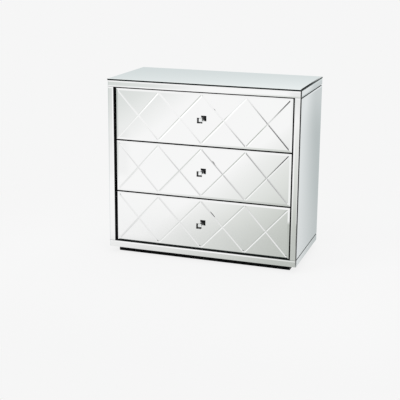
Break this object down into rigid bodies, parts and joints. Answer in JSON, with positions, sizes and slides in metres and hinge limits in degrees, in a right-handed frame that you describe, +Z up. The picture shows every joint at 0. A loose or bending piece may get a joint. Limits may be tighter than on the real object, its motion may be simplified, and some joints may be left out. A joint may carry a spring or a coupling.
{
  "type": "chest of drawers",
  "caption": "Low mirrored chest of drawers with bevelled glass on every outer face, cross-cut diamond fronts, square crystal knobs, telescopic runners and a recessed black plinth.",
  "frame": {"origin": "on the floor, midway between the side faces and midway between the knob tips and the back panel", "axes": "+X to the right seen from the front, +Y to the back, +Z up; drawers open towards -Y"},
  "size_m": [0.8, 0.403, 0.732],
  "materials": {
    "mirror_glass": "polished silvered glass, 6 mm, ground bevels",
    "plinth_paint": "satin black paint on board",
    "case_board": "matt black paint on board",
    "back_board": "thin dark grey faced board",
    "front_board": "matt black paint on board",
    "drawer_lining": "grey woven-pattern foil on board",
    "runner_steel": "bright zinc",
    "crystal": "clear cut crystal, black back bevels, silvered back face",
    "black_nickel": "black nickel plate, polished",
    "screw_steel": "zinc plated",
    "dowel_beech": "plain beech"
  },
  "bodies": {
    "carcass": {"back_panel": "back_board", "back_screws": "screw_steel", "bottom_board": "case_board", "case_dowels": "dowel_beech", "cross_rail_lower": "case_board", "cross_rail_upper": "case_board", "frieze_mirror_front": "mirror_glass", "frieze_mirror_left": "mirror_glass", "frieze_mirror_right": "mirror_glass", "plinth_back": "plinth_paint", "plinth_front": "plinth_paint", "plinth_side_left": "plinth_paint", "plinth_side_right": "plinth_paint", "rail_mirror_front": "mirror_glass", "rail_mirror_left": "mirror_glass", "rail_mirror_right": "mirror_glass", "runner_channel_bottom": "runner_steel", "runner_channel_middle": "runner_steel", "runner_channel_top": "runner_steel", "side_board_left": "case_board", "side_board_right": "case_board", "side_mirror_left": "mirror_glass", "side_mirror_right": "mirror_glass", "stile_mirror_left": "mirror_glass", "stile_mirror_right": "mirror_glass", "top_board": "case_board", "top_mirror": "mirror_glass"},
    "drawer_bottom": {"drawer_back_bottom": "drawer_lining", "drawer_floor_bottom": "drawer_lining", "drawer_front_bottom": "front_board", "drawer_mirror_bottom": "mirror_glass", "drawer_side_left_bottom": "drawer_lining", "drawer_side_right_bottom": "drawer_lining", "knob_base_bottom": "black_nickel", "knob_crystal_bottom": "crystal", "knob_screw_bottom": "screw_steel", "runner_bar_bottom": "runner_steel"},
    "drawer_middle": {"drawer_back_middle": "drawer_lining", "drawer_floor_middle": "drawer_lining", "drawer_front_middle": "front_board", "drawer_mirror_middle": "mirror_glass", "drawer_side_left_middle": "drawer_lining", "drawer_side_right_middle": "drawer_lining", "knob_base_middle": "black_nickel", "knob_crystal_middle": "crystal", "knob_screw_middle": "screw_steel", "runner_bar_middle": "runner_steel"},
    "drawer_top": {"drawer_back_top": "drawer_lining", "drawer_floor_top": "drawer_lining", "drawer_front_top": "front_board", "drawer_mirror_top": "mirror_glass", "drawer_side_left_top": "drawer_lining", "drawer_side_right_top": "drawer_lining", "knob_base_top": "black_nickel", "knob_crystal_top": "crystal", "knob_screw_top": "screw_steel", "runner_bar_top": "runner_steel"},
    "slider_bottom": {"runner_slider_bottom": "runner_steel"},
    "slider_middle": {"runner_slider_middle": "runner_steel"},
    "slider_top": {"runner_slider_top": "runner_steel"}
  },
  "joints": [
    {"name": "drawer_bottom_slide", "type": "slide", "parent": "carcass", "child": "drawer_bottom", "axis": [0, -1, 0], "range_m": [0, 0.3]},
    {"name": "slider_bottom_slide", "type": "slide", "parent": "carcass", "child": "slider_bottom", "axis": [0, -1, 0], "range_m": [0, 0.15]},
    {"name": "drawer_middle_slide", "type": "slide", "parent": "carcass", "child": "drawer_middle", "axis": [0, -1, 0], "range_m": [0, 0.3]},
    {"name": "slider_middle_slide", "type": "slide", "parent": "carcass", "child": "slider_middle", "axis": [0, -1, 0], "range_m": [0, 0.15]},
    {"name": "drawer_top_slide", "type": "slide", "parent": "carcass", "child": "drawer_top", "axis": [0, -1, 0], "range_m": [0, 0.3]},
    {"name": "slider_top_slide", "type": "slide", "parent": "carcass", "child": "slider_top", "axis": [0, -1, 0], "range_m": [0, 0.15]}
  ],
  "couplings": [
    {"joint": "slider_bottom_slide", "follows": "drawer_bottom_slide", "ratio": 0.5},
    {"joint": "slider_middle_slide", "follows": "drawer_middle_slide", "ratio": 0.5},
    {"joint": "slider_top_slide", "follows": "drawer_top_slide", "ratio": 0.5}
  ]
}
